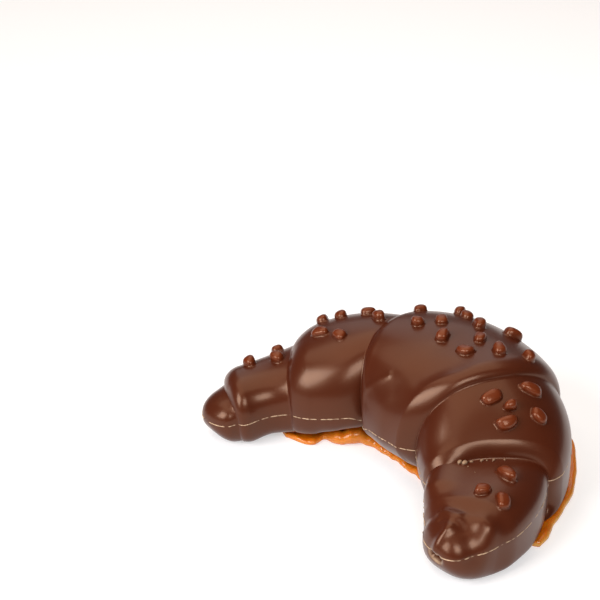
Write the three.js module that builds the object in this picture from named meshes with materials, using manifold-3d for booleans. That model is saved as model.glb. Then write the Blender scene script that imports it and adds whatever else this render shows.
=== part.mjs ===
// A moulded, chocolate-brown croissant on a thin amber base sheet.
// Millimetres, +Z up. The crescent lies flat with its two tips toward -Y; the origin ends up
// at the bottom centre of the whole part.
import * as THREE from 'three';
import Module from 'manifold-3d';

// ---------------------------------------------------------------- overall sizes
const ARC = 164;          // length of the crescent along its own middle line
const GIRTH = 58;         // width across the fattest roll
const HEIGHT = 41;        // height of the tallest roll's lip

// ---------------------------------------------------------------- nibs and base sheet
const NIB_TALL = 2.6;     // how far a nib stands off the crust
const NIB_WIDE = 3.9;     // a nib across its short way
const NIB_SUNK = 1.2;     // how far its root runs into the body
const SHEET_THICK = 1.3;  // base sheet
const SHEET_GAP = 0.3;    // clear space between the sheet and the body above it

// ---------------------------------------------------------------- fineness of the mesh
const AROUND = 40;        // points round one cross-section
const ALONG = [7, 8, 9, 7, 8, 8, 7];   // rows in each roll (the middle roll counts per half)

// The middle line turns as it runs: heading = -(2nd..4th power law of u), u = place / ARC, so
// u = 0 is the middle of the crescent and u = -0.5 / +0.5 its left / right tip.
const TURN = [3.5, 0.5, -1.4];

// Seven rolls, left tip to right tip. Each starts where the next one up covers it and ends in
// a rounded lip over the smaller neighbour: [at the covered end, at the lip]. wide is the half
// width on the outer side and inner on the bay's side, both in parts of GIRTH / 2; tall is in
// parts of HEIGHT; swell is how far width and height belly out halfway, in parts of HEIGHT;
// round is the part of the roll that turns over into its lip.
const ROLLS = [
  { wide: [0.30, 0.26], inner: [0.30, 0.26], tall: [0.38, 0.32], swell: [-0.01, -0.01], round: 0.7 },
  { wide: [0.50, 0.39], inner: [0.50, 0.39], tall: [0.59, 0.51], swell: [-0.03, -0.03], round: 0.22 },
  { wide: [0.67, 0.57], inner: [0.67, 0.57], tall: [0.88, 0.68], swell: [0.085, 0.035], round: 0.22 },
  { wide: [1.00, 0.84], inner: [1.00, 0.84], tall: [0.97, 0.90], swell: [0, 0], round: 0.12 },
  { wide: [0.88, 0.62], inner: [0.80, 0.69], tall: [0.90, 0.70], swell: [0.05, 0.06], round: 0.26 },
  { wide: [0.53, 0.42], inner: [0.66, 0.42], tall: [0.52, 0.54], swell: [0.03, 0.012], round: 0.22 },
  { wide: [0.39, 0.33], inner: [0.38, 0.33], tall: [0.46, 0.42], swell: [-0.01, 0], round: 0.8 },
];
const MID_RIGHT = { wide: 0.94, tall: 1.0, round: 0.25 };   // the middle roll's right lip
const TIPS = [-0.493, 0.507];                   // u of the two ends

// Creases between neighbouring rolls: where each crosses the middle line (u), and how far it
// slants (outer side against inner side) and bows (crown against underside), in u.
const CREASES = [
  { at: -0.434, slant: 0.020, bow: -0.012 },
  { at: -0.296, slant: 0.044, bow: -0.016 },
  { at: -0.087, slant: 0.048, bow: -0.043 },
  { at: 0.135, slant: -0.014, bow: 0.020 },
  { at: 0.289, slant: -0.023, bow: -0.019 },
  { at: 0.448, slant: -0.018, bow: -0.013 },
];
const CROWN_POWER = 2.27;       // roundness of the section above the widest line
// Squareness below the widest line: [u, on the outer side, on the inner side].
const FEET = [
  [-0.50, 3.2, 3.2], [-0.42, 4.4, 4.4], [-0.32, 4.6, 5.0], [-0.285, 5.0, 7.0],
  [-0.25, 5.0, 5.0], [-0.20, 5.0, 3.2], [-0.10, 5.0, 2.6], [0.10, 5.0, 2.6],
  [0.20, 9.0, 2.5], [0.38, 10.0, 2.6], [0.45, 6.0, 2.6], [0.50, 3.4, 2.6],
];
const TIP_RISE = 0.04;          // how far the underside lifts at the two ends, parts of HEIGHT

// Nibs by roll: [place along the roll 0..1 (middle roll -1..1), angle round the section in
// degrees (0 outer side, 90 crown, 180 inner side), length in parts of NIB_WIDE, turn].
const NIBS = {
  1: [[0.61, 70, 1, 20], [0.29, 55, 1.1, 0], [0.2, 84, 1.1, -40]],
  2: [[0.76, 64, 1, 0], [0.57, 70, 1, 45], [0.33, 70, 1.3, 25], [0.14, 82, 1.1, -60],
      [0.68, 92, 1.35, -30], [0.43, 102, 1.1, -40]],
  3: [[-0.87, 66, 1, 30], [-0.54, 90, 1, -60], [-0.34, 82, 1.1, -40], [-0.53, 55, 0.9, 30],
      [-0.34, 61, 1.2, -30], [-0.02, 69, 1.1, -30], [-0.04, 94, 1.2, -60],
      [0.27, 81, 1.2, -50], [0.42, 94, 1.35, 20], [0.62, 79, 1.3, 0],
      [0.2, 51, 1.6, 65], [0.79, 61, 1, -80]],
  4: [[0.41, 93, 1.6, -65], [0.33, 66, 1.6, 75], [0.62, 83, 1, 10], [0.71, 85, 1.6, -66],
      [0.65, 61, 1.4, 65]],
  5: [[0.31, 77, 1.7, 52], [0.65, 89, 1.3, -60], [0.71, 62, 1.6, 40]],
};

// Base sheet: [u, inner edge, outer edge], edges in parts of GIRTH / 2 from the middle line.
const SHEET = [
  [-0.345, -0.33, 0.17], [-0.330, -0.41, 0.31], [-0.300, -0.55, 0.45], [-0.252, -0.51, 0.57],
  [-0.210, -0.60, 0.66], [-0.145, -0.59, 0.78], [-0.085, -0.63, 0.86], [-0.034, -0.68, 0.92],
  [0.020, -0.70, 0.97], [0.067, -0.71, 1.03], [0.100, -0.70, 1.08], [0.122, -0.69, 1.10],
  [0.147, -0.68, 1.04], [0.180, -0.64, 0.92], [0.220, -0.59, 0.80], [0.255, -0.53, 0.71],
  [0.285, -0.48, 0.63], [0.319, -0.43, 0.59], [0.336, -0.34, 0.54],
];

const { sin, cos, abs, sign, sqrt, max, min, PI } = Math;
const lerp = (a, b, t) => a + (b - a) * t;
const HALF = GIRTH / 2;

// ---------------------------------------------------------------- the middle line
const heading = (u) => -(TURN[0] * u + TURN[1] * u * u + TURN[2] * u * u * u);
function spine(u) {
  const n = 24;                                  // steps of the running sum from u = 0
  let x = 0, y = 0;
  for (let i = 0; i < n; i++) {
    const a = heading(((i + 0.5) / n) * u);
    x += (cos(a) * u * ARC) / n;
    y += (sin(a) * u * ARC) / n;
  }
  const a = heading(u);
  return { x, y, nx: -sin(a), ny: cos(a) };      // n points to the outer side of the crescent
}

// ---------------------------------------------------------------- the section at one place
const ease = (x) => { const k = min(max(x, 0), 1); return k * k * (3 - 2 * k); };
const parting = (u) => HEIGHT                    // height of the widest line, with one dip
  * (0.367 + 0.057 * u - 0.55 * u * u - 0.034 * Math.exp(-(((u + 0.095) / 0.03) ** 2)));
const underside = (u) => (                       // clears the sheet, comes down, lifts at the tips
  (SHEET_THICK + SHEET_GAP) * ease((0.43 - abs(u)) / 0.06)
  + TIP_RISE * HEIGHT * ease((abs(u) - 0.45) / 0.06));
const crease = (k, psi) => CREASES[k].at + CREASES[k].slant * cos(psi) + CREASES[k].bow * sin(psi);
const curve = (v, power) => sign(v) * abs(v) ** (2 / power);

// How far roll i has come down to its neighbour's size: 0 along the roll, 1 at its crease.
function lipFall(i, t, psi) {
  const over = i === 3 && t > 0 ? MID_RIGHT.round : ROLLS[i].round;
  const e = max((abs(t) - 1 + over) / over, 0);
  const soft = { 4: ease((-cos(psi) - 0.6) / 0.3), 5: 1 }[i] ?? 0;
  return lerp(1 - sqrt(max(1 - e * e, 0)), ease(e), soft);
}

// Width, height and closing factor of roll i at t (0 covered end .. 1 lip; middle -1 .. 1).
function size(i, t, psi) {
  const roll = ROLLS[i], q = abs(t), outer = cos(psi) >= 0;
  const wide = (k) => (outer ? ROLLS[k].wide : ROLLS[k].inner);
  const swell = roll.swell.map((part) => part * 4 * q * (1 - q) * HEIGHT);
  if (i === 0 || i === 6) {
    const e = max((q - 1 + roll.round) / roll.round, 0);
    const close = sqrt(max(1 - e ** 2.2, 0)), p = parting(TIPS[i === 0 ? 0 : 1]);
    const w = HALF * lerp(...wide(i), q) + swell[0], h = HEIGHT * lerp(...roll.tall, q) + swell[1];
    return { w: w * close, h: p + (h - p) * close, close };
  }
  const right = i === 3 && t > 0, rate = i === 3 ? q * q : q;
  const lip = right ? MID_RIGHT : { wide: wide(i)[1], tall: roll.tall[1] };
  const next = i < 3 || (i === 3 && t <= 0) ? i - 1 : i + 1;
  const fall = lipFall(i, t, psi);
  return {
    w: HALF * (lerp(wide(i)[0], lip.wide, rate) - (lip.wide - wide(next)[0]) * fall) + swell[0],
    h: HEIGHT * (lerp(roll.tall[0], lip.tall, rate) - (lip.tall - ROLLS[next].tall[0]) * fall)
      + swell[1],
    close: 1,
  };
}

// The squareness of the foot at u and psi: from FEET by place, from side to side by cos(psi).
function footPower(u, psi) {
  const k = min(max(FEET.findLastIndex((row) => row[0] <= u), 0), FEET.length - 2);
  const [a, b] = [FEET[k], FEET[k + 1]], f = min(max((u - a[0]) / (b[0] - a[0]), 0), 1);
  return lerp(lerp(a[2], b[2], f), lerp(a[1], b[1], f), (1 + cos(psi)) / 2);
}

// A point of the crust: roll i, place t, angle psi round the section.
function crust(i, t, psi) {
  let u;
  if (i === 3) u = lerp(crease(2, psi), crease(3, psi), (t + 1) / 2);
  else if (i < 3) u = lerp(crease(i, psi), i ? crease(i - 1, psi) : TIPS[0], t);
  else u = lerp(crease(i - 1, psi), i < 6 ? crease(i, psi) : TIPS[1], t);
  const { w, h, close } = size(i, t, psi);
  const p = parting(u), b = underside(u), foot = footPower(u, psi);
  const upper = sin(psi) >= 0;
  const side = w * curve(cos(psi), upper ? CROWN_POWER : foot);
  const z = upper ? p + (h - p) * curve(sin(psi), CROWN_POWER)
    : p + (p - b) * close * curve(sin(psi), foot);
  const s = spine(u);
  return [s.x + s.nx * side, s.y + s.ny * side, z];
}

// ---------------------------------------------------------------- solids
const wasm = await Module();
wasm.setup();
const { Manifold, Mesh } = wasm;
const solid = (points, faces) => new Manifold(new Mesh({
  numProp: 3,
  vertProperties: new Float32Array(points.flat()),
  triVerts: new Uint32Array(faces.flat()),
}));

// Rows of the crust run from the left tip to the right tip; neighbouring rolls share the row
// that lies in the crease between them. Rows crowd together toward every lip.
function crustRows() {
  const rows = [];
  ROLLS.forEach((_, i) => {
    const n = ALONG[i];
    const toLip = (j) => 1 - (1 - j / n) ** 1.6;
    const places = [];
    if (i === 3) {
      for (let j = n; j > 0; j--) places.push(-toLip(j));
      for (let j = 0; j <= n; j++) places.push(toLip(j));
    } else if (i < 3) {
      for (let j = n; j > 0; j--) places.push(toLip(j));
    } else {
      for (let j = 1; j <= n; j++) places.push(toLip(j));
    }
    places.forEach((t) => rows.push([i, t]));
  });
  return rows;
}

// Angles round the section, spread evenly by direction and not by the superellipse's power.
const TURNS = Array.from({ length: AROUND }, (_, j) => {
  const a = (2 * PI * j) / AROUND, n = sin(a) >= 0 ? 2.27 : 3.4;
  return Math.atan2(sign(sin(a)) * abs(sin(a)) ** (n / 2), sign(cos(a)) * abs(cos(a)) ** (n / 2));
});

function bodyShell() {
  const rows = crustRows().slice(1, -1);          // the first and last close to a point
  const points = [crust(0, 1, 0)], faces = [];
  rows.forEach(([i, t]) => {
    TURNS.forEach((psi) => points.push(crust(i, t, psi)));
  });
  points.push(crust(6, 1, 0));
  const at = (r, j) => 1 + r * AROUND + (j % AROUND), last = points.length - 1;
  for (let j = 0; j < AROUND; j++) {
    faces.push([0, at(0, j + 1), at(0, j)]);
    faces.push([last, at(rows.length - 1, j), at(rows.length - 1, j + 1)]);
    for (let r = 0; r + 1 < rows.length; r++) {
      faces.push([at(r, j), at(r + 1, j + 1), at(r + 1, j)]);
      faces.push([at(r, j), at(r, j + 1), at(r + 1, j + 1)]);
    }
  }
  return solid(points, faces);
}

// One nib: a short, soft-topped peg, longer one way, standing square on the crust.
function nib(i, t, degrees, longer, turn) {
  const psi = (degrees * PI) / 180, d = 0.02;
  const here = new THREE.Vector3(...crust(i, t, psi));
  const along = new THREE.Vector3(...crust(i, t + (i < 3 ? -d : d), psi))
    .sub(new THREE.Vector3(...crust(i, t - (i < 3 ? -d : d), psi))).normalize();
  const across = new THREE.Vector3(...crust(i, t, psi + d))
    .sub(new THREE.Vector3(...crust(i, t, psi - d))).normalize();
  const out = new THREE.Vector3().crossVectors(across, along).normalize();
  along.applyAxisAngle(out, (turn * PI) / 180);
  const over = new THREE.Vector3().crossVectors(out, along);
  const rings = [[-NIB_SUNK, 1], [NIB_TALL * 0.7, 0.95], [NIB_TALL, 0.68]], sides = 8;
  const points = [], faces = [];
  rings.forEach(([up, part]) => {
    for (let j = 0; j < sides; j++) {
      const a = (2 * PI * (j + 0.5)) / sides, r = (NIB_WIDE / 2) * part;
      points.push(here.clone().addScaledVector(out, up)
        .addScaledVector(along, r * cos(a) + sign(cos(a)) * (longer - 1) * NIB_WIDE / 2)
        .addScaledVector(over, r * sin(a)).toArray());
    }
  });
  for (let r = 0; r + 1 < rings.length; r++) {
    for (let j = 0; j < sides; j++) {
      const a = r * sides + j, b = r * sides + ((j + 1) % sides);
      faces.push([a, b, b + sides], [a, b + sides, a + sides]);
    }
  }
  const top = (rings.length - 1) * sides;
  for (let j = 1; j + 1 < sides; j++) {
    faces.push([0, j + 1, j], [top, top + j, top + j + 1]);
  }
  return solid(points, faces);
}

// The base sheet: a crescent a little proud of the body's foot, flat on both faces, with
// smooth edges through the stations of SHEET.
function sheet() {
  const edge = (side) => new THREE.CatmullRomCurve3(SHEET.map((row) => {
    const s = spine(row[0]), off = row[side] * HALF;
    return new THREE.Vector3(s.x + s.nx * off, s.y + s.ny * off, 0);
  }), false, 'centripetal').getPoints(30);
  const inner = edge(1), outer = edge(2), points = [], faces = [];
  inner.forEach((p, j) => {
    for (const e of [p, outer[j]]) {
      points.push([e.x, e.y, 0], [e.x, e.y, SHEET_THICK]);
    }
  });
  const end = (inner.length - 1) * 4;              // each place: inner low, top, outer low, top
  for (let a = 0; a < end; a += 4) {
    const b = a + 4;
    faces.push([a, a + 2, b], [b, a + 2, b + 2]);              // underside
    faces.push([a + 1, b + 1, a + 3], [b + 1, b + 3, a + 3]);  // top
    faces.push([a, b, a + 1], [b, b + 1, a + 1]);              // inner edge
    faces.push([a + 2, a + 3, b + 2], [b + 2, a + 3, b + 3]);  // outer edge
  }
  faces.push([0, 1, 2], [2, 1, 3], [end, end + 2, end + 1], [end + 2, end + 3, end + 1]);
  return solid(points, faces);
}

let body = bodyShell();
for (const [roll, list] of Object.entries(NIBS)) {
  for (const place of list) body = body.add(nib(Number(roll), ...place));
}
const base = sheet();

// ---------------------------------------------------------------- the part in its own frame
const group = new THREE.Group();
function show(name, shape, colour, roughness) {
  const m = shape.getMesh();
  const geometry = new THREE.BufferGeometry();
  geometry.setAttribute('position', new THREE.BufferAttribute(m.vertProperties, 3));
  geometry.setIndex(new THREE.BufferAttribute(m.triVerts, 1));
  geometry.computeVertexNormals();
  const mesh = new THREE.Mesh(geometry, new THREE.MeshStandardMaterial({
    color: colour, roughness, name,
  }));
  mesh.name = name;
  group.add(mesh);
}
show('coated_body', body, 0x4a2218, 0.35);
show('base_sheet', base, 0xc8741f, 0.3);

// The origin is the bottom centre of the whole part.
const box = new THREE.Box3().setFromObject(group);
group.position.set(-(box.min.x + box.max.x) / 2, -(box.min.y + box.max.y) / 2, -box.min.z);

export default group;
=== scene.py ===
# %% [markdown]
# # A moulded croissant on an amber base sheet
#
# The real thing is a treat cast in a two-part mould: a crescent of seven overlapping rolls
# in a chocolate-brown, satin-gloss mass, with small pegs (nibs) cast on its crown, a thin
# flash line where the two mould halves met, and a thin amber sheet stuck under it. Every
# surface below is worked out from a formula on a grid of two parameters, because the rolls
# are one smooth law repeated with different sizes, and a formula keeps them in step with the
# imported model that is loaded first.

# %% Load the fixed frame
import bpy
import numpy as np
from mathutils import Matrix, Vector


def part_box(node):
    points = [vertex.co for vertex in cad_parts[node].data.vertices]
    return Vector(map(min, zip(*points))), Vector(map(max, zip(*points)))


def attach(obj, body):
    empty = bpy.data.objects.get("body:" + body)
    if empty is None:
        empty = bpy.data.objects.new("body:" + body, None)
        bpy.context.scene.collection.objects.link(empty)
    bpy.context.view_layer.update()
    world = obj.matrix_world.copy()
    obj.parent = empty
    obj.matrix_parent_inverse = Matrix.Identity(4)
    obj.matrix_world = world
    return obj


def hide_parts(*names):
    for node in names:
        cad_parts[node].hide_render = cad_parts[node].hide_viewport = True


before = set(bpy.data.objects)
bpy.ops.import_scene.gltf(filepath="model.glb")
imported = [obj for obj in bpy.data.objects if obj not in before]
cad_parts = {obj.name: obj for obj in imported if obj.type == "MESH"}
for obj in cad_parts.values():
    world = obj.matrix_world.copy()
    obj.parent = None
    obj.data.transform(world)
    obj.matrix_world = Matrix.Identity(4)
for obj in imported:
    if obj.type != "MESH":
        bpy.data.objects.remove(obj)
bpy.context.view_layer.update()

MM = 0.001
body_low, body_high = (np.array(c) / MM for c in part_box("coated_body"))
print("CAD body, mm:", body_low.round(1), body_high.round(1))

# %% [markdown]
# ## Sizes
#
# All lengths are in millimetres until a mesh is made. The crescent's middle line is an arc
# whose heading is a polynomial of `u`, the place along it: 0 in the middle, -0.5 at the left
# tip and +0.5 at the right tip. Widths are parts of half the girth and heights are parts of
# the tallest lip, as in the solid model, so that one change of girth or height moves
# everything that hangs on it.

# %% Sizes of the crescent
ARC, GIRTH, HEIGHT = 164.0, 58.0, 41.0
HALF = GIRTH / 2
SPINE_AT = np.array([-0.214, 14.032, 0.0])     # where the middle of that line lies
TURN = (3.5, 0.5, -1.4)                        # heading's factors of u, u^2 and u^3, in radians
TIPS = (-0.493, 0.507)
SHEET_THICK, SHEET_GAP = 1.3, 0.3
TIP_RISE = 2.6                                 # how far the tips' feet lift off the table
print(f"crescent {ARC:.0f} mm long, {GIRTH:.0f} mm wide, {HEIGHT:.0f} mm tall")

# %% [markdown]
# ## The seven rolls
#
# Each roll is covered at one end by its bigger neighbour and ends at the other in a lip over
# its smaller one. The middle roll covers both its neighbours, so it has two lips. A table
# with one row for each roll is the plainest way to hold these sizes, because the rolls are
# alike in kind and differ only in number.

# %% Sizes of the rolls
LEFT_TIP, SECOND, THIRD, MIDDLE, FIFTH, SIXTH, RIGHT_TIP = range(7)
# Outer half width, inner half width and height, each as (where its neighbour covers it, at its
# lip); swell of width and height halfway; part of it that rounds over into the lip; squareness
# of the section above the parting line
ROLLS = [
    dict(wide=(0.30, 0.26), inner=(0.30, 0.26), tall=(0.38, 0.32), swell=(-0.010, -0.010),
         round=0.70, crown=2.27),
    dict(wide=(0.50, 0.39), inner=(0.50, 0.39), tall=(0.59, 0.51), swell=(-0.030, -0.030),
         round=0.22, crown=2.27),
    dict(wide=(0.67, 0.57), inner=(0.67, 0.57), tall=(0.88, 0.68), swell=(0.085, 0.035),
         round=0.22, crown=2.27),
    dict(wide=(1.00, 0.84), inner=(1.00, 0.84), tall=(0.97, 0.90), swell=(0.0, 0.0),
         round=0.12, crown=2.27),
    dict(wide=(0.88, 0.62), inner=(0.80, 0.69), tall=(0.90, 0.605), swell=(0.050, 0.025),
         round=0.12, crown=2.27),
    dict(wide=(0.53, 0.42), inner=(0.66, 0.42), tall=(0.52, 0.515), swell=(0.030, 0.012),
         round=0.22, crown=2.3),
    dict(wide=(0.39, 0.33), inner=(0.38, 0.33), tall=(0.47, 0.42), swell=(-0.010, 0.0),
         round=0.80, crown=1.7),
]
RIGHT_LIP = dict(wide=0.94, tall=1.00, round=0.25)        # the middle roll's lip on its right
# Creases: place on the middle line, slant (outer against inner side), bow (crown against foot)
CREASES = [(-0.434, 0.020, -0.012), (-0.296, 0.044, -0.016), (-0.087, 0.048, -0.043),
           (0.135, -0.014, 0.020), (0.289, -0.023, -0.019), (0.448, -0.018, -0.013)]
INNER_DROP = (0, 0, 0, 0, 0.020, 0)           # how much further on its inner side each one runs
print(len(ROLLS), "rolls, creases at", [round(place * ARC, 1) for place, _, _ in CREASES], "mm")

# %% Squareness of the foot
# (place, outer side, inner side): 2 is an ellipse, and 10 is nearly a square corner
FEET = np.array([(-0.50, 3.2, 3.2), (-0.42, 4.4, 4.4), (-0.32, 4.6, 5.0), (-0.285, 5.0, 7.0),
                 (-0.25, 5.0, 5.0), (-0.20, 5.0, 3.2), (-0.13, 5.0, 1.9), (0.11, 5.0, 1.8),
                 (0.20, 9.0, 2.5), (0.36, 10.0, 2.6), (0.42, 5.0, 2.6), (0.47, 3.2, 2.6),
                 (0.50, 3.0, 2.6)])
print("foot's squareness runs from", FEET[:, 1:].min(), "to", FEET[:, 1:].max())

# %% [markdown]
# ## The middle line
#
# The mould's maker bent a straight row of rolls into a crescent that curls more at its ends.
# A Bezier curve dragged by hand could follow it, but a heading that is a polynomial of the
# length keeps the rolls' lengths true, as a bent tube does. The heading is summed once into
# two tables, and every later function reads places from them.

# %% Middle line
S_TABLE = np.linspace(-0.62, 0.62, 1241)
A_TABLE = -(TURN[0] * S_TABLE + TURN[1] * S_TABLE**2 + TURN[2] * S_TABLE**3)


def running_sum(rate):
    """Trapezoid sum of `rate` along the middle line, zero in its middle, in millimetres."""
    step = (S_TABLE[1] - S_TABLE[0]) * ARC
    total = np.concatenate([[0], np.cumsum((rate[1:] + rate[:-1]) / 2 * step)])
    return total - total[len(total) // 2]


X_TABLE, Y_TABLE = running_sum(np.cos(A_TABLE)), running_sum(np.sin(A_TABLE))


def off_line(u, side, z):
    """The point `side` mm to the outer side of the middle line at u, z mm high."""
    x, y = np.interp(u, S_TABLE, X_TABLE), np.interp(u, S_TABLE, Y_TABLE)
    a = np.interp(u, S_TABLE, A_TABLE)
    return np.stack([x - np.sin(a) * side, y + np.cos(a) * side, z + 0 * x], -1) + SPINE_AT


print("tips of the middle line, mm:", off_line(np.array(TIPS), 0, 0).round(1).tolist())

# %% [markdown]
# ## Heights and creases along the line
#
# Three things change slowly along the crescent: the height of its widest line, where the
# mould halves met, the height of its foot, and where each crease runs round it. Each is a
# function of the place `u` or of the angle `psi` round the section, 0 on the outer side, a
# quarter turn at the crown and half a turn on the inner side.

# %% Widest line, foot and creases
def smooth(x, low, high):
    """0 below `low`, 1 above `high`, and 3x^2 - 2x^3 between them."""
    x = np.clip((x - low) / (high - low), 0, 1)
    return x * x * (3 - 2 * x)


ARCH = (0.367, 0.057, -0.55)                   # widest line: parts of the height for 1, u and u^2
DIP_DEEP, DIP_AT, DIP_WIDE = 1.8, -0.140, 0.03
FOOT_DOWN, FOOT_UP = (-0.43, -0.37), (0.44, 0.51)     # where the foot leaves sheet and table


def parting(u):
    """Height of the widest line, where the mould halves met: a low arch with one dip in it."""
    dip = DIP_DEEP * np.exp(-((u - DIP_AT) / DIP_WIDE) ** 2)
    return HEIGHT * (ARCH[0] + ARCH[1] * u + ARCH[2] * u * u) - dip


def underside(u):
    """Height of the foot: clear of the base sheet, down on the table, then up at the tips."""
    return ((SHEET_THICK + SHEET_GAP) * smooth(-np.abs(u), *FOOT_DOWN)
            + TIP_RISE * smooth(np.abs(u), *FOOT_UP))


def crease(k, psi):
    """Place of crease k at angle psi: middle + slant * cos + bow * sin + drop * cos^2 inside."""
    at, slant, bow = CREASES[k]
    return (at + slant * np.cos(psi) + bow * np.sin(psi)
            + INNER_DROP[k] * np.maximum(-np.cos(psi), 0) ** 2)


def place_u(i, t, psi):
    """Place along the middle line of (t, psi) in roll i, between the creases that bound it."""
    if i == MIDDLE:
        return crease(2, psi) + (crease(3, psi) - crease(2, psi)) * (t + 1) / 2
    if i < MIDDLE:
        covered, lip = crease(i, psi), crease(i - 1, psi) if i else TIPS[0]
    else:
        covered, lip = crease(i - 1, psi), crease(i, psi) if i < RIGHT_TIP else TIPS[1]
    return covered + (lip - covered) * t


print("widest line in the middle and at the tips, mm:", parting(np.array([0, *TIPS])).round(1))

# %% [markdown]
# ## The section
#
# Cut across, each roll is a rounded loaf: an easy curve above the widest line and a squarer
# one below it. A superellipse, |x/w|^n + |z/h|^n = 1, is both with one number: n = 2 is an
# ellipse and a large n is a box. It needs no control points, so it can't get lumpy.

# %% Superellipse and its squareness
def power_curve(v, n):
    """v keeping its sign, raised to 2/n: the superellipse's own way round."""
    return np.sign(v) * np.abs(v) ** (2 / n)


STARTS = [TIPS[0]] + [place for place, _, _ in CREASES]
ENDS = [place for place, _, _ in CREASES] + [TIPS[1]]
MIDDLES = [(start + end) / 2 for start, end in zip(STARTS, ENDS)]


def squareness(u, psi):
    """The superellipse's power: crown and feet by place, feet from inner to outer by cos."""
    crown = np.interp(u, MIDDLES, [r["crown"] for r in ROLLS])
    outer, inner = np.interp(u, FEET[:, 0], FEET[:, 1]), np.interp(u, FEET[:, 0], FEET[:, 2])
    return np.where(np.sin(psi) >= 0, crown, inner + (outer - inner) * (1 + np.cos(psi)) / 2)


print("squareness at the crown, roll by roll:", [r["crown"] for r in ROLLS])

# %% [markdown]
# ## The lips
#
# A lip is where a roll ends over its smaller neighbour, and it is what the light shows best:
# a bright rim, a dark wall below it and a crisp crease. Most lips round over like a quarter
# of an ellipse. Two were cut with a rolled rim, which slopes first and only then
# drops, and so holds a wider band of light. A bevel modifier would make every lip alike.

# %% Lips
# A rim: part of the fall that slopes, the power of the slope, and the power of the wall
RIMS = {MIDDLE: dict(slopes=0.62, power=1.5, wall=2), FIFTH: dict(slopes=0.45, power=1.3, wall=4)}
WIDER_INSIDE = 0.13                            # how much longer the middle roll's rim is inside


def wall_fall(e, power=2):
    """1 - (1 - e^power)^(1/2): a quarter ellipse for 2, and a later, steeper wall above it."""
    return 1 - np.sqrt(1 - e**power)


def rim_fall(e, i):
    """Slope and wall mixed: slopes * e^power + (1 - slopes) * wall."""
    rim = RIMS[i]
    return rim["slopes"] * e ** rim["power"] + (1 - rim["slopes"]) * wall_fall(e, rim["wall"])


def lip_fall(i, t, psi):
    """0 along the roll and 1 at its crease: how far it has come down to its neighbour's size.

    The middle roll's right lip has a rim on its inner side only. The fifth roll has one all
    round, save for its inner side, which only eases down, as the whole sixth roll does.
    """
    inside = smooth(-np.cos(psi), 0.25, 0.75)
    over = ROLLS[i]["round"]
    if i == MIDDLE:
        over = np.where(t > 0, RIGHT_LIP["round"] + WIDER_INSIDE * inside, over)
    e = np.clip((np.abs(t) - 1 + over) / over, 0, 1)
    fall = wall_fall(e)
    if i == MIDDLE:
        fall = np.where(t > 0, fall + (rim_fall(e, i) - fall) * inside, fall)
    if i == FIFTH:
        fall = rim_fall(e, i)
    soft = {FIFTH: smooth(-np.cos(psi), 0.60, 0.90), SIXTH: 1.0}.get(i, 0.0)
    return fall + (smooth(e, 0, 1) - fall) * soft


near_lip = np.array([0.90, 0.96, 1.0])
print("fifth roll's crown has fallen", lip_fall(FIFTH, near_lip, np.pi / 2).round(2), "at", near_lip)

# %% [markdown]
# ## Size along a roll
#
# Between its covered end and its lip a roll widens and rises steadily, with a little swell
# halfway where the mass bulged. The two tip rolls have no lip and close to a point instead,
# like the end of a loaf.

# %% Size of a roll
BLUNT = 2.2                                    # 2 closes a tip like an ellipse, and more is blunter


def side_width(i, end, psi):
    """Part of the half girth that roll i has at one end, on the outer or the inner side."""
    return np.where(np.cos(psi) >= 0, ROLLS[i]["wide"][end], ROLLS[i]["inner"][end])


def roll_size(i, t, psi):
    """Half width, height and closing factor of roll i at (t, psi).

    Size runs from the covered end to the lip, plus swell * 4t(1-t), less the lip's fall to the
    neighbour's size. The two tip rolls close instead, by sqrt(1 - e^2.2), about the parting.
    """
    roll, q = ROLLS[i], np.abs(t)
    bow = 4 * q * (1 - q)
    wide = [side_width(i, end, psi) for end in (0, 1)]
    tall, rate, close = roll["tall"], q, np.ones_like(q)
    if i in (LEFT_TIP, RIGHT_TIP):
        e = np.clip((q - 1 + roll["round"]) / roll["round"], 0, 1)
        close = np.sqrt(1 - e**BLUNT)
        after_w, after_h, fall = wide[1], tall[1], 0.0
    elif i == MIDDLE:
        right, rate = t > 0, q**2
        wide[1] = np.where(right, RIGHT_LIP["wide"], wide[1])
        tall = (tall[0], np.where(right, RIGHT_LIP["tall"], tall[1]))
        after_w = np.where(right, side_width(FIFTH, 0, psi), side_width(THIRD, 0, psi))
        after_h = np.where(right, ROLLS[FIFTH]["tall"][0], ROLLS[THIRD]["tall"][0])
        fall = lip_fall(i, t, psi)
    else:
        after = i - 1 if i < MIDDLE else i + 1
        after_w, after_h = side_width(after, 0, psi), ROLLS[after]["tall"][0]
        fall = lip_fall(i, t, psi)
    w = HALF * (wide[0] + (wide[1] - wide[0]) * rate - (wide[1] - after_w) * fall)
    h = HEIGHT * (tall[0] + (tall[1] - tall[0]) * rate - (tall[1] - after_h) * fall)
    w, h = w + HEIGHT * roll["swell"][0] * bow, h + HEIGHT * roll["swell"][1] * bow
    p = parting(TIPS[0 if i == LEFT_TIP else 1]) if i in (LEFT_TIP, RIGHT_TIP) else h
    return w * close, p + (h - p) * close, close


sample = [float(roll_size(i, np.array(0.5), np.pi / 2)[1]) for i in range(7)]
print("height halfway along each roll, mm:", np.round(sample, 1))

# %% [markdown]
# ## The plain crust
#
# Section and sizes together give the crust: a point is found from a roll, a place `t` along
# it and an angle `psi` round it. Bending boxes or sculpting could make the same shape, but
# only a formula lets the nibs and the flash line be laid exactly on the skin later. Its
# normal comes from two small steps on the surface, one along it and one round it.

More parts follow.
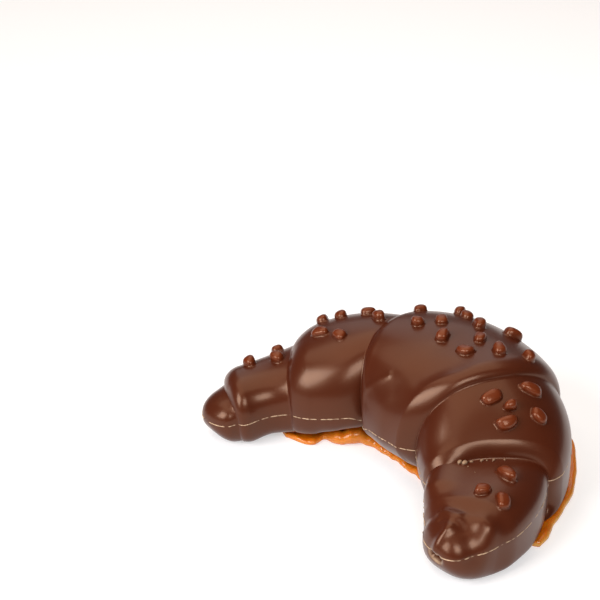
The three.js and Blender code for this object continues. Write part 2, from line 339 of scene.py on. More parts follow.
# %% Plain crust and its normal
def plain_crust(i, t, psi):
    """The crust before its small hollows and ridges: the section set square on the line."""
    u = place_u(i, t, psi)
    w, h, close = roll_size(i, t, psi)
    p, b = parting(u), underside(u)
    power = squareness(u, psi)
    side = w * power_curve(np.cos(psi), power)
    rise = np.where(np.sin(psi) >= 0, h - p, (p - b) * close)
    return off_line(u, side, p + rise * power_curve(np.sin(psi), power))


def outward(shape, i, t, psi):
    """Unit normal of a crust function: cross product of its two central differences."""
    d = 0.004
    ta, tb = np.maximum(t - d, -1.0 if i == MIDDLE else 0.0), np.minimum(t + d, 1.0)
    along = shape(i, tb, psi) - shape(i, ta, psi)
    if i < MIDDLE:
        along = -along
    across = shape(i, t, psi + d) - shape(i, t, psi - d)
    n = np.cross(across, along)
    return n / np.maximum(np.linalg.norm(n, axis=-1, keepdims=True), 1e-9)


print("crown of the middle roll, mm:", plain_crust(MIDDLE, np.array(0.0), np.array(np.pi / 2)).round(1))

# %% [markdown]
# ## Hollows and ridges
#
# The mould was cut by hand, so the rolls are not perfect: there is a short fold on the middle
# roll, a rolled rim beside a crease, two knuckles on the last lip, a nose-like right tip and
# a dimple in its end. Sculpt mode could press these in, but its result can't be read or
# changed. Here each is one stroke of a soft round tool: height * exp(-(distance / radius)^2),
# where the distance is to a line between two points, added along the skin's normal.

# %% Strokes of the sculptor's tool
# from (x, y, z), to (x, y, z), radius, height; a height below zero presses in
DIMPLE = ((44.0, -42.2, 9.2), (46.4, -42.6, 9.0), 1.2, -2.6)     # in the end of the right tip
STROKES = [
    ((-10.4, -10.9, 26.6), (-4.2, -7.3, 32.8), 0.8, 0.34),      # fold on the middle roll
    ((-7, -11.0, 26.2), (-1, -8.6, 30.5), 2.8, -0.25),          # hollow below it
    ((6, -6.0, 36.0), (14, 2.0, 40.0), 4.5, -0.5),              # hollow behind the rolled rim
    ((-24, -13.0, 2.0), (-14.5, -7.0, 2.0), 5.5, -6.5),         # foot drawn in over the swollen sheet
    ((27.5, -17.5, 18.0), (31.0, -24.5, 17.0), 5.0, 2.4),       # shoulder where two rolls run together
    ((41, -33.0, 17.5), (45.5, -33.2, 19.0), 2.2, 1.0),         # left knuckle of the last lip
    ((42, -35.8, 17.5), (46.5, -35.2, 18.7), 1.4, -0.4),        # fold in front of it
    ((52.5, -29.2, 18.3), (54, -28.8, 17.5), 3.6, 1.5),         # right knuckle
    ((51.0, -34.5, 17.0), (55.5, -37.0, 11.5), 3.6, -1.2),      # valley in front of it
    ((45.0, -36.6, 18.6), (46.2, -36.9, 18.2), 1.9, 0.9),       # top of the nose
    ((46.0, -38.8, 17.2), (45.2, -42.3, 12.0), 1.5, 0.7),       # bridge of the nose
    DIMPLE,
]


def distance_to(start, end, points):
    """Distance of each point to the line between two points."""
    start, end = np.array(start, float), np.array(end, float)
    line = end - start
    along = np.clip((points - start) @ line / (line @ line), 0, 1)
    return np.linalg.norm(points - start - along[..., None] * line, axis=-1)


def strokes(points):
    """Sum of all strokes at each point."""
    lift = np.zeros(points.shape[:-1])
    for start, end, radius, height in STROKES:
        lift += height * np.exp(-(distance_to(start, end, points) / radius) ** 2)
    return lift


def crust(i, t, psi):
    """The finished crust: the plain one moved along its normal by the strokes."""
    t, psi = np.broadcast_arrays(np.asarray(t, float), np.asarray(psi, float))
    base = plain_crust(i, t, psi)
    return base + outward(plain_crust, i, t, psi) * strokes(base)[..., None]


heights = [height for *_, height in STROKES]
print(len(STROKES), "strokes, from", min(heights), "to", max(heights), "mm")

# %% [markdown]
# ## Meshes from grids
#
# The crust, the nibs and the flash line came out of one mould in one pour, so they belong in
# one mesh with one material. One helper turns a grid of points into faces, and another joins
# several grids into one mesh. Joining objects afterwards would do the same, but here each
# point also gets numbers that say what it is (nib or flash), which the material reads.

# %% Faces of a grid
def grid_faces(rows, cols, wrap=False):
    """Quads of a grid whose normals follow (column step) x (row step)."""
    r = np.arange(rows - 1)[:, None]
    c = np.arange(cols if wrap else cols - 1)[None, :]
    d = (c + 1) % cols
    quad = np.stack([r * cols + c, r * cols + d, (r + 1) * cols + d, (r + 1) * cols + c], -1)
    return quad.reshape(-1, 4)


print("a ring of 4 by 2 points has", len(grid_faces(2, 4, wrap=True)), "faces")


# %% One casting from several grids
class Casting:
    """Collects grids of points, their faces and their attributes for one mesh."""

    def __init__(self):
        self.points, self.quads, self.tris, self.marks, self.count = [], [], [], {}, 0

    def add(self, points, quads, tris=(), **marks):
        """Takes one grid; faces count from its own first point, and a mark left out is 0."""
        points = points.reshape(-1, 3)
        self.points.append(points)
        self.quads.append(np.asarray(quads, int).reshape(-1, 4) + self.count)
        self.tris.append(np.asarray(tris, int).reshape(-1, 3) + self.count)
        for name in set(marks) | set(self.marks):
            values = np.broadcast_to(marks.get(name, 0.0), len(points)).astype(float)
            self.marks.setdefault(name, [np.zeros(self.count)]).append(values)
        self.count += len(points)

    def build(self, name, material):
        """One smooth mesh object at the origin, in metres, with its point attributes."""
        mesh = bpy.data.meshes.new(name)
        points = np.concatenate(self.points) * MM
        quads, tris = np.concatenate(self.quads), np.concatenate(self.tris)
        corners = np.concatenate([quads.ravel(), tris.ravel()])
        mesh.vertices.add(len(points))
        mesh.vertices.foreach_set("co", points.ravel())
        mesh.loops.add(len(corners))
        mesh.loops.foreach_set("vertex_index", corners)
        starts = np.concatenate([np.arange(len(quads)) * 4,
                                 len(quads) * 4 + np.arange(len(tris)) * 3])
        mesh.polygons.add(len(starts))
        mesh.polygons.foreach_set("loop_start", starts)
        mesh.polygons.foreach_set("use_smooth", np.ones(len(starts), bool))
        mesh.update(calc_edges=True)
        mesh.validate()
        for key, parts in self.marks.items():
            layer = mesh.attributes.new(key, "FLOAT", "POINT")
            layer.data.foreach_set("value", np.concatenate(parts))
        mesh.materials.append(material)
        piece = bpy.data.objects.new(name, mesh)
        bpy.context.scene.collection.objects.link(piece)
        print(f"{name}: {len(points)} points, {2 * len(quads) + len(tris)} triangles")
        return piece


casting = Casting()
print("the body's casting starts with", casting.count, "points")

# %% [markdown]
# ## Colours and nodes
#
# A colour picked from a chart is an sRGB hex value, but Blender reckons with linear light, so
# one function turns the first into the second. Materials could be wired by hand in the Shader
# Editor. A small function that adds a node with its settings and links does the same, and
# keeps each material readable as a short list.

# %% Colours and one node helper
def colour(text):
    """An sRGB hex colour turned to linear, with alpha 1: ((s + 0.055) / 1.055)^2.4."""
    s = np.array([int(text[k:k + 2], 16) for k in (1, 3, 5)]) / 255
    linear = np.where(s <= 0.04045, s / 12.92, ((s + 0.055) / 1.055) ** 2.4)
    return (*map(float, linear), 1.0)


def node(material, kind, values=None, **settings):
    """Adds a node; `values` maps input names to numbers or to (node, output) pairs."""
    tree = material.node_tree
    made = tree.nodes.new(kind)
    for key, value in settings.items():
        setattr(made, key, value)
    for key, value in (values or {}).items():
        if isinstance(value, tuple) and isinstance(value[0], bpy.types.Node):
            tree.links.new(value[0].outputs[value[1]], made.inputs[key])
        else:
            made.inputs[key].default_value = value
    return made


def new_material(name):
    """An empty node material with its output node."""
    material = bpy.data.materials.new(name)
    material.use_nodes = True
    material.node_tree.nodes.clear()
    return material, node(material, "ShaderNodeOutputMaterial")


print("middle grey #808080 is", round(colour("#808080")[0], 3), "in linear light")

# %% [markdown]
# ## Moulded brown crust
#
# The crust is a cocoa-brown fatty mass cast against a smooth mould: dark, a little cloudy and
# satin-glossy. A plain Principled shader gives that with a dark brown base, a medium
# roughness for the satin and a thin coat for the skin that lay against the mould. Its
# reflection is tinted warm, because a fatty mass lets some light in just under the skin.
# Nibs are thinner, and light shining through them makes them look redder: that redness is a
# painted glow in their colour. The flash line has gone pale where it was torn.

# %% Moulded brown crust material
CLOUD_SIZE = 22 * MM                           # width of the faint clouds in the mass


def moulded_crust():
    """Satin-gloss cast mass: two browns mixed by noise, then the nibs' painted red glow and flash beige
    by mark.
    """
    m, out = new_material("moulded_brown_crust_satin")
    place = node(m, "ShaderNodeTexCoord")
    cloud = node(m, "ShaderNodeTexNoise", {"Vector": (place, "Object"), "Scale": round(1 / CLOUD_SIZE),
                                           "Detail": 3.0})
    tone = node(m, "ShaderNodeMix", {"A": colour("#3F180A"), "B": colour("#491C0C"),
                                     "Factor": (cloud, "Fac")}, data_type="RGBA")
    # Painted glow: the nib mark mixes in a redder brown that stands in for light shining through the
    # thin pegs
    nib = node(m, "ShaderNodeAttribute", attribute_name="nib")
    nib_glow_tone = node(m, "ShaderNodeMix", {"A": (tone, "Result"), "B": colour("#60260E"),
                                       "Factor": (nib, "Fac")}, data_type="RGBA")
    flash = node(m, "ShaderNodeAttribute", attribute_name="flash")
    flashed = node(m, "ShaderNodeMix", {"A": (nib_glow_tone, "Result"), "B": colour("#B2967A"),
                                        "Factor": (flash, "Fac")}, data_type="RGBA")
    # 0.30 is the satin: highlights keep their shape but not their edge. The coat's 0.14 adds
    # the small sharp glints that a mould's polish leaves on top.
    shader = node(m, "ShaderNodeBsdfPrincipled", {
        "Base Color": (flashed, "Result"), "Roughness": 0.30, "IOR": 1.5,
        "Specular Tint": (1.0, 0.62, 0.40, 1.0),
        "Coat Weight": 0.10, "Coat Roughness": 0.14, "Coat IOR": 1.5})
    m.node_tree.links.new(shader.outputs[0], out.inputs["Surface"])
    return m


crust_material = moulded_crust()
print(crust_material.name, "has", len(crust_material.node_tree.nodes), "nodes")

# %% [markdown]
# ## Amber base sheet's material
#
# The sheet is a thin layer of an amber, sugar-like mass that was poured and set glossy. Light
# goes a millimetre or two into it and comes back orange, which a little subsurface scattering
# gives. Its thick rim holds more light and looks yellower, so a second colour is mixed in by
# the mark `rim`. Real transparency would cost far more time and look the same on a white table.

# %% Amber base sheet's material
def amber_sheet():
    """Glossy poured sheet: orange in the web and yellow at the rim, with light let in under."""
    m, out = new_material("amber_sheet_glossy")
    rim = node(m, "ShaderNodeAttribute", attribute_name="rim")
    tone = node(m, "ShaderNodeMix", {"A": colour("#CC6A0E"), "B": colour("#CB9440"),
                                     "Factor": (rim, "Fac")}, data_type="RGBA")
    # Red goes 2 mm into the mass, green 0.7 mm and blue hardly at all
    shader = node(m, "ShaderNodeBsdfPrincipled", {
        "Base Color": (tone, "Result"), "Roughness": 0.22, "IOR": 1.45,
        "Subsurface Weight": 0.3, "Subsurface Radius": (2.0, 0.7, 0.15), "Subsurface Scale": MM})
    m.node_tree.links.new(shader.outputs[0], out.inputs["Surface"])
    return m


sheet_material = amber_sheet()
print(sheet_material.name, "has", len(sheet_material.node_tree.nodes), "nodes")

# %% [markdown]
# ## Rows of points
#
# The crust bends most at the lips, so its grid has to be finest there. A Subdivision Surface
# would add points everywhere alike. Crowding the rows toward each lip by a power of their
# number, and spreading the points round the section by true direction, puts them where the
# light would show a facet first.

# %% Rows along the rolls and angles round them
ROWS = (46, 44, 48, 46, 50, 50, 56)           # rows in each roll; the middle one, per half
CROWDING = 1.5
AROUND = 200                                   # points round the section
EVEN_POWERS = (2.27, 3.4)                      # usual squareness of the crown and of the foot


def crust_rows():
    """(roll, t) of every row; rows crowd toward the lips by t = 1 - (1 - j/n)^1.5."""
    for i, n in enumerate(ROWS):
        to_lip = 1 - (1 - np.arange(n + 1) / n) ** CROWDING
        if i < MIDDLE:
            yield i, to_lip[:0:-1]
        elif i == MIDDLE:
            yield i, np.concatenate([-to_lip[:0:-1], to_lip])
        else:
            yield i, to_lip[1:]


def angles(count):
    """psi of evenly spread directions phi: atan2 of sin and cos, each to its power n/2."""
    phi = np.arange(count) * 2 * np.pi / count
    c, s = np.cos(phi), np.sin(phi)
    n = np.where(s >= 0, *EVEN_POWERS)
    up, across = np.sign(s) * np.abs(s) ** (n / 2), np.sign(c) * np.abs(c) ** (n / 2)
    return np.arctan2(up, across) % (2 * np.pi)


PSI = angles(AROUND)
print(sum(len(t) for _, t in crust_rows()), "rows of", AROUND, "points")

# %% [markdown]
# ## The crescent
#
# All rows of all rolls make one closed skin, with a point at each tip, so no seam can open.
# The dimple in the right tip has a pale, broken ring round it where the mass tore as it left
# the mould. A painted texture could show it, but a mark on the points needs no image: it is
# strong at one distance from the dimple and fades on both sides of it.

# %% Cast the crescent
RING_FAR, RING_WIDE = 1.55, 0.42               # the ring's distance from the dimple, and its width
RING_PLANE, RING_BEFORE = -42.4, -36.0         # y of the dimple's face, and where the ring ends
RING_PALE = 0.85


def sines(x, rows):
    """Sum of height * sin(rate * x + phase) over rows of (height, rate, phase)."""
    return sum(height * np.sin(rate * x + phase) for height, rate, phase in rows)


def torn_ring(points):
    """Mark of the dimple's ring: exp(-((distance - far) / wide)^2), broken by a slow sine."""
    start, end = DIMPLE[:2]
    far = distance_to(start, end, points * (1, 0, 1) + (0, RING_PLANE, 0))
    ring = np.exp(-((far - RING_FAR) / RING_WIDE) ** 2)
    broken = 0.75 + sines(points[:, 0], [(0.25, 1.4, 1)])
    return RING_PALE * ring * broken * (points[:, 1] < RING_BEFORE)


def cast_body(casting):
    """The crescent itself: every row of every roll, closed to a point at both tips."""
    grids = [crust(i, t[:, None], PSI[None, :]) for i, t in crust_rows()]
    skin = np.concatenate(grids)[1:-1]
    rows = len(skin)
    ends = np.stack([crust(LEFT_TIP, 1.0, 0.0), crust(RIGHT_TIP, 1.0, 0.0)])
    points = np.concatenate([skin.reshape(-1, 3), ends])
    first, last, top = rows * AROUND, rows * AROUND + 1, (rows - 1) * AROUND
    j = np.arange(AROUND)
    k = (j + 1) % AROUND
    fans = np.concatenate([np.stack([first + 0 * j, k, j], -1),
                           np.stack([last + 0 * j, top + j, top + k], -1)])
    casting.add(points, grid_faces(rows, AROUND, wrap=True), fans, flash=torn_ring(points))


cast_body(casting)
print("crescent cast with", casting.count, "points")

# %% [markdown]
# ## Flash line
#
# Where the two halves of the mould met, a little mass crept into the gap and left a thin fin
# along the widest line of both sides, broken off here and there. A curve with a bevel could
# be wrapped round the body. The crust's own formula gives the line exactly, so the fin is a
# seven-point ridge set on every row of it, and three sines of unlike lengths break it up.

# %% Flash line
# The ridge's section: (mm up or down, part of its height)
FLASH = np.array([(-0.5, -0.3), (-0.24, -0.1), (-0.11, 0.6), (0, 1), (0.11, 0.6), (0.24, -0.1),
                  (0.5, -0.3)])
FLASH_HIGH, FLASH_SUNK, FLASH_PALE = 0.26, 0.03, 0.08     # mm; it is fully pale from 0.08 mm up
FLASH_BREAKS = [(0.35, 1.7, 0), (0.3, 0.61, 1), (0.3, 3.9, 2)]


def uneven(u):
    """0 to 1 along the line: 0.55 and three sines of unlike lengths, cut off at both ends."""
    return np.clip(0.55 + sines(u * ARC, FLASH_BREAKS), 0, 1)


def cast_flash(casting, psi):
    """The fin on one side: each row's point, moved out by the ridge's height at that row."""
    rows = [(crust(i, t, psi), outward(crust, i, t, psi + 0 * t), place_u(i, t, psi))
            for i, t in crust_rows()]
    base, n, u = (np.concatenate(part)[2:-2] for part in zip(*rows))
    n[:, 2] = 0
    n /= np.maximum(np.linalg.norm(n, axis=1, keepdims=True), 1e-9)
    high = FLASH_HIGH * uneven(u)[:, None] * FLASH[None, :, 1] - FLASH_SUNK
    grid = base[:, None, :] + n[:, None, :] * high[..., None]
    grid[..., 2] += FLASH[None, :, 0]
    mark = np.clip(high / FLASH_PALE, 0, 1)
    if psi > 0:                                # the inner side runs the other way round
        grid, mark = grid[:, ::-1], mark[:, ::-1]
    casting.add(grid, grid_faces(len(grid), len(FLASH)), flash=mark.ravel())


cast_flash(casting, 0.0)
cast_flash(casting, np.pi)
print("casting with its flash line has", casting.count, "points")

# %% [markdown]
# ## Nibs and crumbs
#
# The mould had small blind holes, so the crown carries short blunt pegs, each a little
# different. They stand on a curved skin, so their feet must follow it: each nib is a profile
# swept round a rounded rectangle on its own patch of skin. Instancing one nib would be
# lighter, but the copies would look alike and their feet would float. The crumbs of dried
# sheet in one crease are the same shape, far smaller and pale.

# %% Where the nibs and crumbs are
NIB_TALL, NIB_WIDE = 2.6, 3.9                  # mm
# For each roll: (t, degrees round the section, length against width, turn in degrees)
NIBS = {
    SECOND: [(0.61, 70, 1, 20), (0.29, 50, 1.0, 0), (0.2, 88, 1.1, -40)],
    THIRD: [(0.76, 64, 1, 0), (0.57, 70, 1, 45), (0.33, 70, 1.3, 25), (0.14, 82, 1.1, -60),
            (0.68, 92, 1.35, -30), (0.43, 102, 1.1, -40)],
    MIDDLE: [(-0.87, 66, 1, 30), (-0.54, 90, 1, -60), (-0.34, 82, 1.1, -40), (-0.53, 55, 0.9, 30),
             (-0.34, 61, 1.2, -30), (-0.02, 69, 1.1, -30), (-0.04, 94, 1.2, -60),
             (0.27, 81, 1.2, -50), (0.42, 94, 1.35, 20), (0.62, 79, 1.3, 0),
             (0.2, 51, 1.6, 65), (0.79, 61, 1, -80)],
    FIFTH: [(0.28, 93, 1.7, -65), (0.21, 66, 1.7, 75), (0.44, 83, 0.8, 10), (0.67, 85, 1.7, -66),
            (0.56, 61, 1.4, 65)],
    SIXTH: [(0.31, 77, 1.7, 52), (0.65, 89, 1.3, -60), (0.71, 62, 1.6, 40)],
}
# Crumbs in the crease of the sixth roll: (t, degrees, part of a nib's size)
CRUMBS = [(0.060, 121, 0.30), (0.080, 116, 0.34), (0.045, 110, 0.17), (0.035, 101, 0.22),
          (0.040, 97, 0.12), (0.035, 92, 0.20), (0.030, 84, 0.12), (0.16, 112, 0.10),
          (0.30, 104, 0.08)]
print(sum(map(len, NIBS.values())), "nibs and", len(CRUMBS), "crumbs")

# %% A flat patch of the curved skin
def skin_patch(i, t, psi, x, y, turn):
    """Points of the crust x, y mm from (t, psi), after a turn about the normal there.

    The steps in t and psi that make x and y come from the inverse of the crust's 2 x 2 table
    of slopes at that point.
    """
    d = 0.01
    n = outward(crust, i, np.asarray(t, float), np.asarray(psi, float))
    to_right = -1 if i < MIDDLE else 1
    by_t = (crust(i, t + d, psi) - crust(i, t - d, psi)) / (2 * d)
    by_psi = (crust(i, t, psi + d) - crust(i, t, psi - d)) / (2 * d)
    e1 = to_right * by_t / np.linalg.norm(by_t)
    e2 = np.cross(n, e1)
    c, s = np.cos(np.radians(turn)), np.sin(np.radians(turn))
    turned = np.stack([x * c - y * s, x * s + y * c])
    slopes = np.array([[by_t @ e1, by_psi @ e1], [by_t @ e2, by_psi @ e2]])
    dt, dpsi = np.tensordot(np.linalg.inv(slopes), turned, axes=1)
    return crust(i, np.clip(t + dt, -0.999 if i == MIDDLE else 0.001, 0.999), psi + dpsi), n


patch, up = skin_patch(MIDDLE, 0.0, np.pi / 2, np.array([-1.0, 1.0]), np.zeros(2), 0)
print("two points 2 mm apart on the crown are", np.linalg.norm(patch[1] - patch[0]).round(2), "mm apart")

# %% Shape of a nib
# Its profile from the middle out: (part of its radius, part of its height)
PROFILE = np.array([(0.0, 1.0), (0.28, 0.99), (0.52, 0.95), (0.72, 0.87), (0.86, 0.74), (0.95, 0.58),
                    (1.0, 0.40), (1.01, 0.22), (1.04, 0.09), (1.12, 0.02), (1.25, -0.04)])
NIB_SIDES, NIB_SQUARE = 28, 2.6                # points round it, and its outline's superellipse power
NIB_ROOT = 0.6                                 # how deep its closing point is under the skin, mm
NIB_UNEVEN, NIB_LEAN = 0.16, 0.13              # parts of its height that vary and that lean
NIB_WAVES = [(0.07, 2, 1), (0.05, 3, 2)]       # of its outline: height, waves round it, phases
NIB_GLOW_FROM = 1.5                             # its painted red glow is full from 1 / 1.5 of its height up


def nib_outline(phase, size):
    """Angles and radii of a superellipse, made uneven by two small sines."""
    theta = np.arange(NIB_SIDES) * 2 * np.pi / NIB_SIDES
    power = np.abs(np.cos(theta)) ** NIB_SQUARE + np.abs(np.sin(theta)) ** NIB_SQUARE
    r = power ** (-1 / NIB_SQUARE) * size * NIB_WIDE / 2
    return theta, r * (1 + sines(theta, [(high, n, k * phase) for high, n, k in NIB_WAVES]))


def nib_faces(rings):
    """Quads between the rings, and fans to the point on top and to the one under the skin."""
    j = np.arange(NIB_SIDES)
    k = (j + 1) % NIB_SIDES
    last, top, foot = (rings - 1) * NIB_SIDES, rings * NIB_SIDES, rings * NIB_SIDES + 1
    fans = np.concatenate([np.stack([top + 0 * j, j, k], -1),
                           np.stack([foot + 0 * j, last + k, last + j], -1)])
    return grid_faces(rings, NIB_SIDES, wrap=True)[:, ::-1], fans


def cast_nib(casting, i, t, degrees, longer, turn, size=1.0, mark_name="nib"):
    """One nib: rings of the profile on a patch of skin, raised by height * lean along the normal.

    The phase comes from the nib's own place, so that no two are alike.
    """
    psi, phase = np.radians(degrees), 7.1 * t + 0.3 * degrees
    theta, r = nib_outline(phase, size)
    part, high = PROFILE[1:, 0][:, None], PROFILE[1:, 1][:, None]
    base, n = skin_patch(i, t, psi, r * np.cos(theta) * longer * part, r * np.sin(theta) * part, turn)
    tall = size * NIB_TALL * (0.9 + NIB_UNEVEN * np.sin(5 * phase))
    lean = 1 + NIB_LEAN * part * np.cos(theta - phase)
    rings = base + n * (high * lean * tall)[..., None]
    middle = crust(i, t, psi)
    points = np.concatenate([rings.reshape(-1, 3), [middle + n * tall, middle - n * NIB_ROOT * size]])
    # Painted glow on a nib: the mark grows with height, so the top of the peg is painted redder where
    # light would shine through it; crumbs use the same mark for their pale colour
    mark = np.clip(np.concatenate([np.repeat(PROFILE[1:, 1] * NIB_GLOW_FROM, NIB_SIDES), [1, 0]]), 0, 1)
    strength = min(1, 0.35 + 0.65 * size)      # a smaller one is paler
    casting.add(points, *nib_faces(len(high)), **{mark_name: mark * strength})


print("a nib has", (len(PROFILE) - 1) * NIB_SIDES + 2, "points and is about", NIB_WIDE, "mm wide")

# %% Cast the nibs and crumbs, and build the body
CRUMB_LONGER, CRUMB_TURN = 1.5, 37             # length against width; degrees of turn per degree
for roll, places in NIBS.items():
    for one in places:
        cast_nib(casting, roll, *one)
for t, degrees, size in CRUMBS:
    cast_nib(casting, SIXTH, t, degrees, CRUMB_LONGER, CRUMB_TURN * degrees, size, "flash")
body = casting.build("brown_croissant", crust_material)
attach(body, "root")
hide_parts("coated_body")
print("body is", (np.array(body.dimensions) / MM).round(1), "mm")

# %% [markdown]
# ## Base sheet
#
# The thin amber sheet was poured first and the body set down on it while it was soft, so its
# rim swelled up round the foot in an uneven bead. A plane with a Solidify modifier would have
# a square, even edge. Here each place along the crescent has one loop of points, a flat web
# between two rounded beads, with sizes from a table and slow sines for the hand's unevenness.

# %% Sizes of the base sheet
# Along the middle line: place, inner edge, its bead's half height, outer edge, its bead's (mm)
SHEET = np.array([
    (-0.345, -9.5, 0.65, 5.0, 0.7), (-0.330, -12.0, 0.8, 9.0, 0.7), (-0.315, -14.6, 0.8, 11.5, 0.8),
    (-0.300, -16.4, 0.9, 13.0, 0.8), (-0.286, -17.3, 1.1, 14.0, 0.8), (-0.270, -15.8, 0.9, 15.5, 0.8),
    (-0.252, -14.0, 0.9, 16.5, 0.8), (-0.236, -16.6, 2.0, 17.5, 0.8), (-0.210, -17.9, 2.6, 19.0, 0.8),
    (-0.175, -17.8, 2.8, 21.0, 0.8), (-0.145, -17.0, 2.5, 22.5, 0.8), (-0.115, -16.9, 1.7, 24.0, 0.9),
    (-0.085, -18.2, 1.3, 25.5, 0.9), (-0.034, -19.9, 1.2, 28.0, 0.9), (0.020, -20.4, 1.2, 30.0, 0.9),
    (0.067, -20.6, 1.2, 31.8, 0.9), (0.114, -20.4, 1.2, 32.9, 1.0), (0.147, -19.6, 1.1, 30.1, 1.0),
    (0.180, -18.5, 1.0, 26.7, 1.0), (0.220, -17.0, 0.9, 23.3, 1.1), (0.255, -15.4, 0.9, 20.5, 1.1),
    (0.285, -14.0, 0.8, 18.3, 1.2), (0.319, -12.5, 0.8, 17.1, 1.1), (0.336, -10.0, 0.8, 15.8, 0.9)])
EDGE_WAVES = [(0.30, 0.31, 0), (0.12, 0.83, 1), (0.03, 1.9, 2)]     # of the outline, mm
BEAD_WAVES = [(0.10, 0.47, 2), (0.05, 1.17, 0)]                     # of the bead, part of its size
BEAD_DEEP = 1.25                               # a bead's half depth against its half height
WEB_EASE = 0.16                                # part of the width in which a bead runs out
END_EASE, END_NARROWS = 0.0022, 0.45           # how soon and how far it closes at its two ends
INNER_WAVIER, INNER_RIM = 1.2, 0.3             # the inner bead against the outer: waves, pale rim
PLACES, BEAD_POINTS = 420, 25


def station(u, column):
    """A column of SHEET at u, eased by averaging three places 0.006 apart."""
    return sum(np.interp(u + d, SHEET[:, 0], SHEET[:, column]) for d in (-0.006, 0, 0.006)) / 3


print("sheet is", round(float(station(0, 3) - station(0, 1)), 1), "mm wide in its middle")

# %% Lay the base sheet
def sheet_loops(u, turn, part):
    """Side and height of the loop at each u: bead, underside, bead and top, in that order.

    A bead is half an ellipse, edge + depth * (1 + cos) across and half height * (1 + sin) up.
    The top eases from the beads' height to the sheet's thickness.
    """
    wave, crimp = sines(u * ARC, EDGE_WAVES), sines(u * ARC, BEAD_WAVES)
    edge_in, edge_out = station(u, 1) - wave, station(u, 3) + wave[::-1]
    r_in, r_out = station(u, 2) * (1 + INNER_WAVIER * crimp), station(u, 4) * (1 + crimp[::-1])
    inner = edge_in + BEAD_DEEP * r_in * (1 + np.cos(turn))
    outer = edge_out - BEAD_DEEP * r_out * (1 + np.cos(turn))
    web = smooth(part, 0, WEB_EASE) * smooth(1 - part, 0, WEB_EASE)
    top_edge = 2 * (r_in + (r_out - r_in) * part)
    top = top_edge + (SHEET_THICK - top_edge) * web
    start, end = edge_in + BEAD_DEEP * r_in, edge_out - BEAD_DEEP * r_out
    across = start + (end - start) * part
    side = np.concatenate([inner, across, outer, across[:, ::-1]], axis=1)
    high = np.concatenate([r_in * (1 + np.sin(turn)), 0 * top, r_out * (1 - np.sin(turn)),
                           top[:, ::-1]], axis=1)
    return side, high, (edge_in + edge_out) / 2


def lay_sheet(casting):
    """The sheet as one loop of points per place, drawn in and flattened at its two ends."""
    u = np.linspace(SHEET[0, 0], SHEET[-1, 0], PLACES)[:, None]
    turn = np.linspace(0.5 * np.pi, 1.5 * np.pi, BEAD_POINTS)[None, :]
    part = np.linspace(0, 1, BEAD_POINTS)[None, 1:-1]
    side, high, middle = sheet_loops(u, turn, part)
    close = np.sqrt(np.clip((u - u[0]) * (u[-1] - u) / END_EASE, 0, 1))
    side = middle + (side - middle) * (1 - END_NARROWS + END_NARROWS * close)
    high = SHEET_THICK / 2 + (high - SHEET_THICK / 2) * close
    rows, cols = side.shape
    k = np.arange(1, cols - 1)
    ends = np.concatenate([np.stack([0 * k, k, k + 1], -1),
                           (rows - 1) * cols + np.stack([0 * k, k + 1, k], -1)])
    edge = np.clip(-np.cos(turn), 0, 1) ** 2
    rim = np.concatenate([INNER_RIM * edge, 0 * part, edge, 0 * part], axis=1)
    casting.add(off_line(u + 0 * side, side, high), grid_faces(rows, cols, wrap=True)[:, ::-1],
                ends, rim=(rim + 0 * side).ravel())


sheet_casting = Casting()
lay_sheet(sheet_casting)
sheet = sheet_casting.build("amber_base_sheet", sheet_material)
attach(sheet, "root")
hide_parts("base_sheet")
print("sheet is", (np.array(sheet.dimensions) / MM).round(1), "mm")

# %% [markdown]
# ## White table
#
# The croissant lies on a matt white table with a painted glow in it: a weak emission round
# the croissant, a painted pool of light that keeps shadows on it pale. A plain white floor under
# brighter lamps would burn out the crust's highlights first. The emission fades with the
# distance from the middle and gives the glow without touching the lamps.

# %% White table
# Painted pool of light on the table: emission is full near the croissant and fades outward
PAINTED_GLOW = dict(full_within=0.20, gone_at=0.60, strength=0.47)          # metres, metres, brightness
TABLE_HALF = 3.0                                                    # metres


def white_table():
    """Matt white with a painted glow: emission = strength inside one radius, falling evenly to 0 at
    another.
    """
    m, out = new_material("white_table_painted_glow")
    place = node(m, "ShaderNodeTexCoord")
    far = node(m, "ShaderNodeVectorMath", {0: (place, "Object")}, operation="LENGTH")
    glow = node(m, "ShaderNodeMapRange", {
        "Value": (far, "Value"), "From Min": PAINTED_GLOW["full_within"], "From Max": PAINTED_GLOW["gone_at"],
        "To Min": PAINTED_GLOW["strength"], "To Max": 0.0})
    shader = node(m, "ShaderNodeBsdfPrincipled", {
        "Base Color": colour("#C6C5C7"), "Roughness": 0.8,
        "Emission Color": (1.0, 1.0, 1.0, 1.0), "Emission Strength": (glow, "Result")})
    m.node_tree.links.new(shader.outputs[0], out.inputs["Surface"])
    return m


floor_mesh = bpy.data.meshes.new("table")
corners = [(x * TABLE_HALF, y * TABLE_HALF, 0) for x, y in ((-1, -1), (1, -1), (1, 1), (-1, 1))]
floor_mesh.from_pydata(corners, [], [(0, 1, 2, 3)])
floor_mesh.materials.append(white_table())
table = bpy.data.objects.new("table", floor_mesh)
bpy.context.scene.collection.objects.link(table)
print("table is", 2 * TABLE_HALF, "m square")

# %% [markdown]
# ## Camera
#
# The camera stands in front and to the right, looks down at about a third of a right angle
# and is aimed well to the left of the croissant, so that it sits low on the right. A long
# lens from nearly a metre away keeps the arms of the crescent from looking stretched. Angles
# and a distance are easier to reason about than a bare place and rotation.

# %% Camera
AZIMUTH, ELEVATION, DISTANCE = np.radians(43.41), np.radians(32.45), 0.945
LOOK_AT = (SPINE_AT + (-88.45, 28.33, 0.0)) * MM
LENS, SENSOR = 167.4, 36.0                     # mm


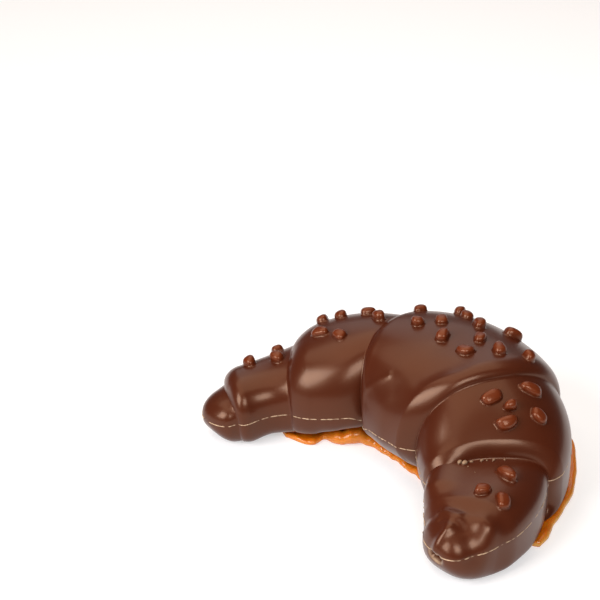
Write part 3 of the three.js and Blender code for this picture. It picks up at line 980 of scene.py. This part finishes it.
def direction(azimuth, elevation):
    """Unit vector to a place seen from the origin; azimuth 0 is toward -Y, 90 toward +X."""
    return np.array([np.sin(azimuth) * np.cos(elevation), -np.cos(azimuth) * np.cos(elevation),
                     np.sin(elevation)])


def aim(thing, at, target):
    """Puts a camera or light at a place and points its -Z axis at the target, +Y upward."""
    thing.location = Vector(at)
    thing.rotation_euler = (Vector(target) - Vector(at)).to_track_quat("-Z", "Y").to_euler()


camera_data = bpy.data.cameras.new("camera")
camera_data.lens = LENS
camera_data.sensor_width = SENSOR
camera_data.clip_end = 20.0
camera = bpy.data.objects.new("camera", camera_data)
bpy.context.scene.collection.objects.link(camera)
aim(camera, LOOK_AT + direction(AZIMUTH, ELEVATION) * DISTANCE, LOOK_AT)
bpy.context.scene.camera = camera
print("camera at", np.array(camera.location).round(3), "m")

# %% [markdown]
# ## Lights
#
# Glossy brown shows its lamps more than its own colour: two soft boxes in front draw the
# bright streaks along the rolls, a big warm panel overhead fills the crowns, and a dim one at
# the back draws the far edges. Area lights are used because a gloss mirrors their shape, which
# a sun or a point lamp would not have. Each is set by its brightness per area, so that making
# one larger does not make its streak brighter.

# %% Lights
CROWN_UP = (0, 0, 0.02)                        # what the lamps are aimed at, metres


def softbox(name, azimuth, elevation, distance, width, height, radiance, tint=(1, 1, 1)):
    """A rectangular panel aimed at the croissant; its power is radiance * pi * area."""
    data = bpy.data.lights.new(name, "AREA")
    data.shape = "RECTANGLE"
    data.color = tint
    data.size, data.size_y = width, height
    data.energy = radiance * np.pi * width * height
    lamp = bpy.data.objects.new(name, data)
    bpy.context.scene.collection.objects.link(lamp)
    aim(lamp, direction(np.radians(azimuth), np.radians(elevation)) * distance, CROWN_UP)
    print(f"{name}: {data.energy:.1f} W")


# degrees round, degrees up, metres away, width and height in metres, brightness, tint
softbox("key_softbox", -13, 35, 1.2, 0.66, 0.68, 9.6)
softbox("second_softbox", 57, 42, 1.2, 0.56, 0.46, 9.0)
softbox("overhead_panel", -110, 74, 1.5, 1.7, 1.7, 1.8, (1.0, 0.84, 0.68))
softbox("back_left_panel", -138, 30, 1.8, 1.2, 0.9, 0.8)

# %% The room round them
ROOM = 0.08                                    # the studio's own dim, even light
world = bpy.data.worlds.new("studio")
world.use_nodes = True
background = world.node_tree.nodes["Background"]
background.inputs["Color"].default_value = (1, 1, 1, 1)
background.inputs["Strength"].default_value = ROOM
bpy.context.scene.world = world
bpy.context.scene.view_settings.view_transform = "Standard"
print("world strength", round(background.inputs["Strength"].default_value, 2))
